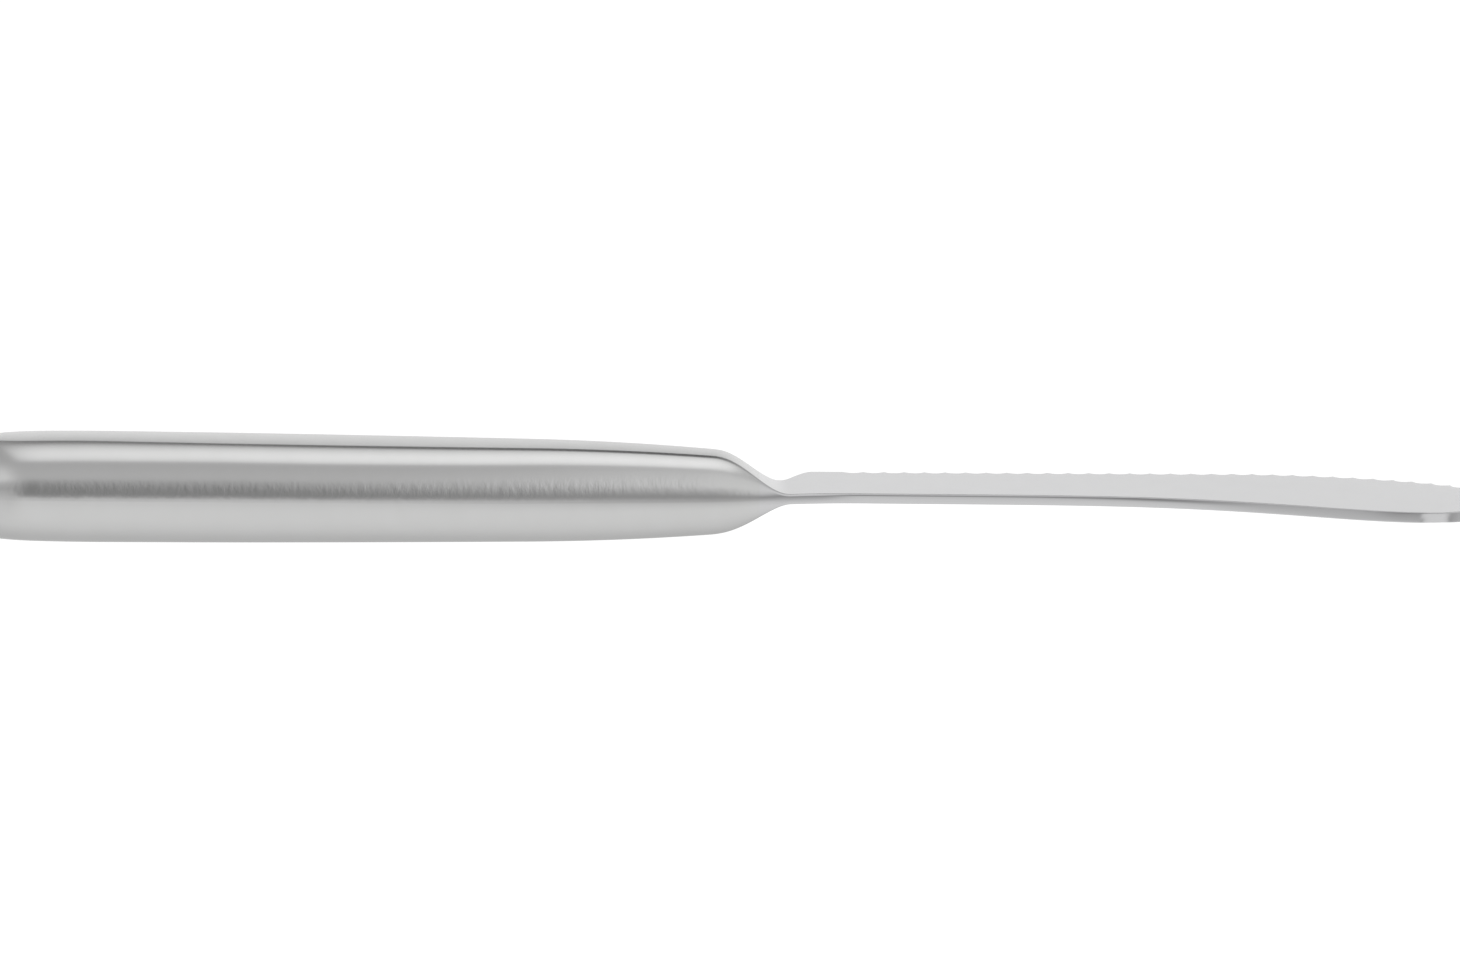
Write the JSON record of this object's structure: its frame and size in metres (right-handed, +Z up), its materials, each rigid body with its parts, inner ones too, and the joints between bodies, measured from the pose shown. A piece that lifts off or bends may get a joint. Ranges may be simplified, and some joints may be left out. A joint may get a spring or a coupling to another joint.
{
  "type": "spreader knife",
  "caption": "Steel spreader knife with a chunky hollow handle that necks down to a thin blade with a scalloped cutting edge and a spine that flares to a broad rounded tip.",
  "frame": {"origin": "middle of the flat underside of the handle, on the knife's centre line", "axes": "+X along the knife from butt to tip, +Y towards the cutting edge, +Z up from the surface that the handle lies on"},
  "size_m": [0.17, 0.0243, 0.0113],
  "materials": {
    "blade_steel": "satin",
    "handle_steel": "satin",
    "cement": "matte"
  },
  "bodies": {
    "root": {"blade": "blade_steel", "upper_handle_shell": "handle_steel", "lower_handle_shell": "handle_steel", "handle_filler": "cement"}
  },
  "joints": []
}
